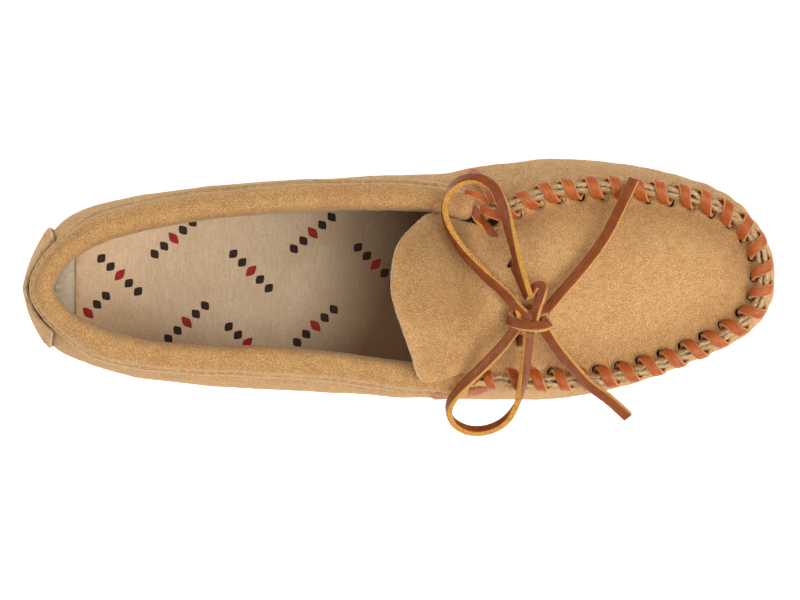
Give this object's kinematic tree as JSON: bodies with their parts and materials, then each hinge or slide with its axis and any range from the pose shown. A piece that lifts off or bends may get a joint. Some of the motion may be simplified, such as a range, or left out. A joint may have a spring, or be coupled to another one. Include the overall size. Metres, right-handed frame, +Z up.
{
  "type": "moccasin",
  "caption": "Soft-sole suede moccasin for a right foot, with a hand-laced toe seam, folded collar, lift-up tongue and a tie lace in a bow.",
  "frame": {"origin": "on the ground under the middle of the shoe's bounding box, bow left out", "axes": "+X towards the toe, +Y towards the medial (big toe) side of this right shoe, +Z up"},
  "size_m": [0.2852, 0.1043, 0.0702],
  "materials": {
    "suede": "tan brushed suede, matt with a short nap",
    "fibre": "bonded fibre board, matt",
    "lining": "thin cream lining leather, matt",
    "foam": "closed-cell foam, matt",
    "insole": "cream smooth sock lining with a printed lozenge pattern",
    "orange_lace": "orange-tan rawhide lace, satin",
    "tie_lace": "red-brown grain leather lace, satin, with a golden flesh side",
    "thread": "tan twisted thread"
  },
  "bodies": {
    "shoe": {"suede_bottom": "suede", "plug": "suede", "collar": "suede", "heel_tab": "suede", "heel_counter": "fibre", "heel_lining": "lining", "insole_foam": "foam", "insole_cover": "insole", "whipstitch_lace": "orange_lace", "tie_lace_run": "tie_lace", "bow_knot": "tie_lace", "lace_tail_medial": "tie_lace", "lace_tail_lateral": "tie_lace", "collar_thread": "thread", "heel_tab_thread": "thread"},
    "tongue": {"tongue_flap": "suede"},
    "bow_loops": {"bow_loop_medial": "tie_lace", "bow_loop_lateral": "tie_lace"}
  },
  "joints": [
    {"name": "tongue_lift", "type": "hinge", "parent": "shoe", "child": "tongue", "pos_m": [0.034, 0, 0.0626], "axis": [0, 1, 0], "range_deg": [0, 55]},
    {"name": "loops_lift", "type": "hinge", "parent": "shoe", "child": "bow_loops", "pos_m": [0.0493, -0.0146, 0.0634], "axis": [0, 1, 0], "range_deg": [0, 40]}
  ],
  "couplings": [
    {"joint": "loops_lift", "follows": "tongue_lift", "ratio": 0.7272}
  ]
}
